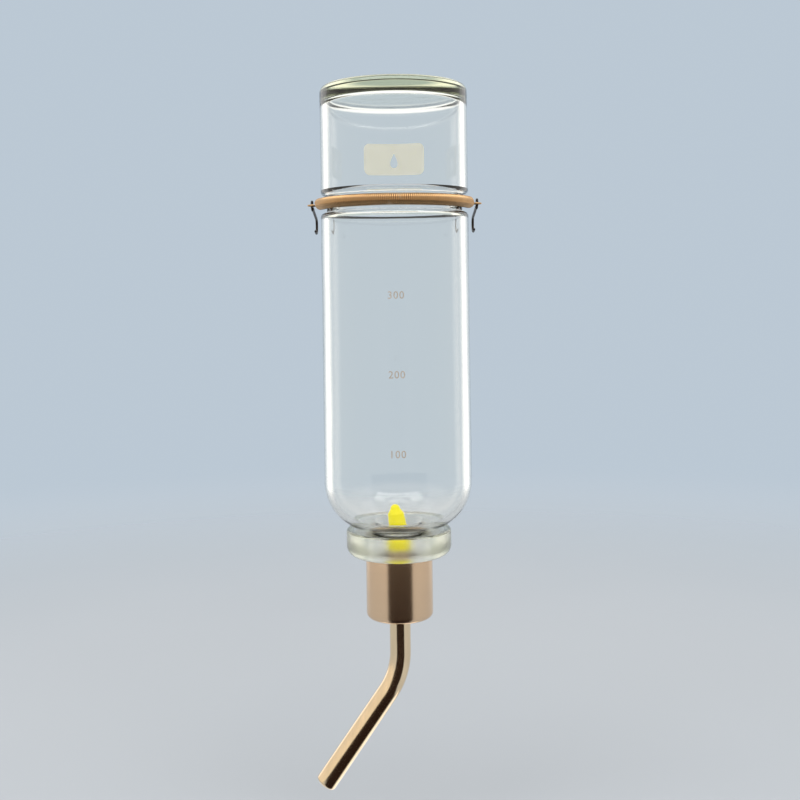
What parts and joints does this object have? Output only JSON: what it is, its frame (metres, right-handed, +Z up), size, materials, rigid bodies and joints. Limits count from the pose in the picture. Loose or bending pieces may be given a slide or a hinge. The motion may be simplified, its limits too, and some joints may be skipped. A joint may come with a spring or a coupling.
{
  "type": "hanging rabbit water bottle",
  "caption": "Inverted glass drinking bottle for rabbits with a hanging spring and hooks, a steel screw cap and a bent steel tube closed by a ball.",
  "frame": {"origin": "on the bottle's axis, at mid height of the groove in which the hanging spring lies", "axes": "+Z up along the bottle's axis, +Y back towards the cage that the hooks reach for, -X the side the drinking tube bends to"},
  "size_m": [0.0774, 0.0727, 0.31],
  "materials": {
    "clear_glass": "clear soda glass, faintly green in the thick base",
    "scale_ink": "faint tan print",
    "cream_ink": "cream print",
    "spring_steel": "bright spring wire, warm tone",
    "hook_wire": "dark drawn wire",
    "cap_steel": "finely brushed stainless steel",
    "liner_plastic": "natural plastic",
    "seal_silicone": "translucent silicone",
    "bush_rubber": "black rubber",
    "tube_steel": "polished stainless steel",
    "collar_steel": "turned steel",
    "yellow_plastic": "bright yellow moulded plastic",
    "ball_steel": "polished ball"
  },
  "bodies": {
    "bottle": {"glass_bottle": "clear_glass", "scale_print": "scale_ink", "back_print": "cream_ink"},
    "spring": {"retaining_spring": "spring_steel"},
    "left_hook": {"hook_left": "hook_wire"},
    "right_hook": {"hook_right": "hook_wire"},
    "seal": {"sealing_washer": "seal_silicone"},
    "cap": {"cap_shell": "cap_steel", "cap_liner": "liner_plastic", "tube_bush": "bush_rubber"},
    "spout": {"drinking_tube": "tube_steel", "tube_collar": "collar_steel", "inlet_nozzle": "yellow_plastic"},
    "ball_at_tip": {"tip_ball": "ball_steel"},
    "ball_behind": {"back_ball": "ball_steel"}
  },
  "joints": [
    {"name": "spring_turn", "type": "hinge", "parent": "bottle", "child": "spring", "pos_m": [0, 0, 0], "axis": [0, 0, 1], "continuous": true},
    {"name": "hook_left_swing", "type": "hinge", "parent": "spring", "child": "left_hook", "pos_m": [-0.0369, 0.00418, 0], "axis": [-1, 0, 0], "range_deg": [-100, 100]},
    {"name": "hook_right_swing", "type": "hinge", "parent": "spring", "child": "right_hook", "pos_m": [0.0369, 0.00418, 0], "axis": [-1, 0, 0], "range_deg": [-100, 100]},
    {"name": "cap_travel", "type": "slide", "parent": "bottle", "child": "seal", "axis": [0, 0, -1], "range_m": [0, 0.0053]},
    {"name": "cap_turn", "type": "hinge", "parent": "seal", "child": "cap", "pos_m": [0, 0, -0.1763], "axis": [0, 0, -1], "range_deg": [0, 540]},
    {"name": "tube_swivel", "type": "hinge", "parent": "cap", "child": "spout", "pos_m": [0, 0, -0.18], "axis": [0, 0, 1], "continuous": true},
    {"name": "tip_ball_push", "type": "slide", "parent": "spout", "child": "ball_at_tip", "axis": [0.5736, 0, 0.8192], "range_m": [0, 0.034]},
    {"name": "back_ball_lift", "type": "slide", "parent": "spout", "child": "ball_behind", "axis": [0.5736, 0, 0.8192], "range_m": [0, 0.034]}
  ],
  "couplings": [
    {"joint": "cap_travel", "follows": "cap_turn", "m_per_rad": 0.00055704},
    {"joint": "back_ball_lift", "follows": "tip_ball_push", "ratio": 1}
  ]
}
